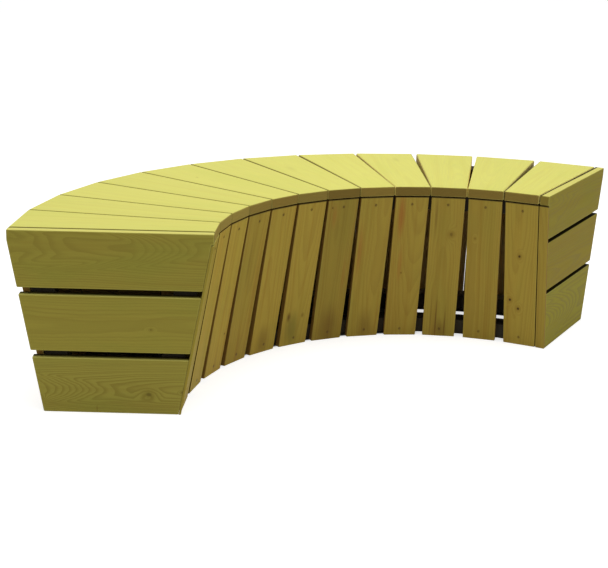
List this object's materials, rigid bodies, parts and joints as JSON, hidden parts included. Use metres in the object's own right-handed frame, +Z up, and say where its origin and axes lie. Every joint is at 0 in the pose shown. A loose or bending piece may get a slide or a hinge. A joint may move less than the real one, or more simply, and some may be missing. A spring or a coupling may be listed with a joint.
{
  "type": "curved garden bench",
  "caption": "Backless curved garden bench: wedge-shaped seat boards along an arc, on a closed timber base of inward-leaning slats with boarded ends.",
  "frame": {"origin": "on the floor, in the middle of the bench's bounding box", "axes": "+Z up; +X along the bench from its left end to its right end; +Y away from the hollow side of the arc, so the inner slat wall looks towards -Y and the outer wall bulges towards +Y"},
  "size_m": [1.9216, 0.8222, 0.47],
  "materials": {
    "seat_timber": "planed, pressure-treated softwood, pale yellow-green, matt",
    "slat_timber": "planed, pressure-treated softwood, brown-olive, matt",
    "end_timber": "planed, pressure-treated softwood, olive, matt",
    "frame_timber": "sawn, pressure-treated softwood, dull",
    "screw_steel": "yellow-passivated screw heads, dulled outdoors; the screws are in the visual model only"
  },
  "bodies": {
    "root": {"seat_board_01": "seat_timber", "seat_board_02": "seat_timber", "seat_board_03": "seat_timber", "seat_board_04": "seat_timber", "seat_board_05": "seat_timber", "seat_board_06": "seat_timber", "seat_board_07": "seat_timber", "seat_board_08": "seat_timber", "seat_board_09": "seat_timber", "seat_board_10": "seat_timber", "seat_board_11": "seat_timber", "seat_board_12": "seat_timber", "inner_slat_01": "slat_timber", "inner_slat_02": "slat_timber", "inner_slat_03": "slat_timber", "inner_slat_04": "slat_timber", "inner_slat_05": "slat_timber", "inner_slat_06": "slat_timber", "inner_slat_07": "slat_timber", "inner_slat_08": "slat_timber", "inner_slat_09": "slat_timber", "inner_slat_10": "slat_timber", "inner_slat_11": "slat_timber", "inner_slat_12": "slat_timber", "outer_slat_01": "slat_timber", "outer_slat_02": "slat_timber", "outer_slat_03": "slat_timber", "outer_slat_04": "slat_timber", "outer_slat_05": "slat_timber", "outer_slat_06": "slat_timber", "outer_slat_07": "slat_timber", "outer_slat_08": "slat_timber", "outer_slat_09": "slat_timber", "outer_slat_10": "slat_timber", "outer_slat_11": "slat_timber", "outer_slat_12": "slat_timber", "left_cover_lath": "slat_timber", "right_cover_lath": "slat_timber", "left_end_board_bottom": "end_timber", "left_end_board_middle": "end_timber", "left_end_board_top": "end_timber", "right_end_board_bottom": "end_timber", "right_end_board_middle": "end_timber", "right_end_board_top": "end_timber", "inner_top_rail": "frame_timber", "inner_bottom_rail": "frame_timber", "outer_top_rail": "frame_timber", "outer_bottom_rail": "frame_timber", "left_end_inner_post": "frame_timber", "left_end_outer_post": "frame_timber", "right_end_inner_post": "frame_timber", "right_end_outer_post": "frame_timber", "left_frame_inner_post": "frame_timber", "left_frame_outer_post": "frame_timber", "left_frame_top_bearer": "frame_timber", "left_frame_bottom_spreader": "frame_timber", "right_frame_inner_post": "frame_timber", "right_frame_outer_post": "frame_timber", "right_frame_top_bearer": "frame_timber", "right_frame_bottom_spreader": "frame_timber"}
  },
  "joints": []
}
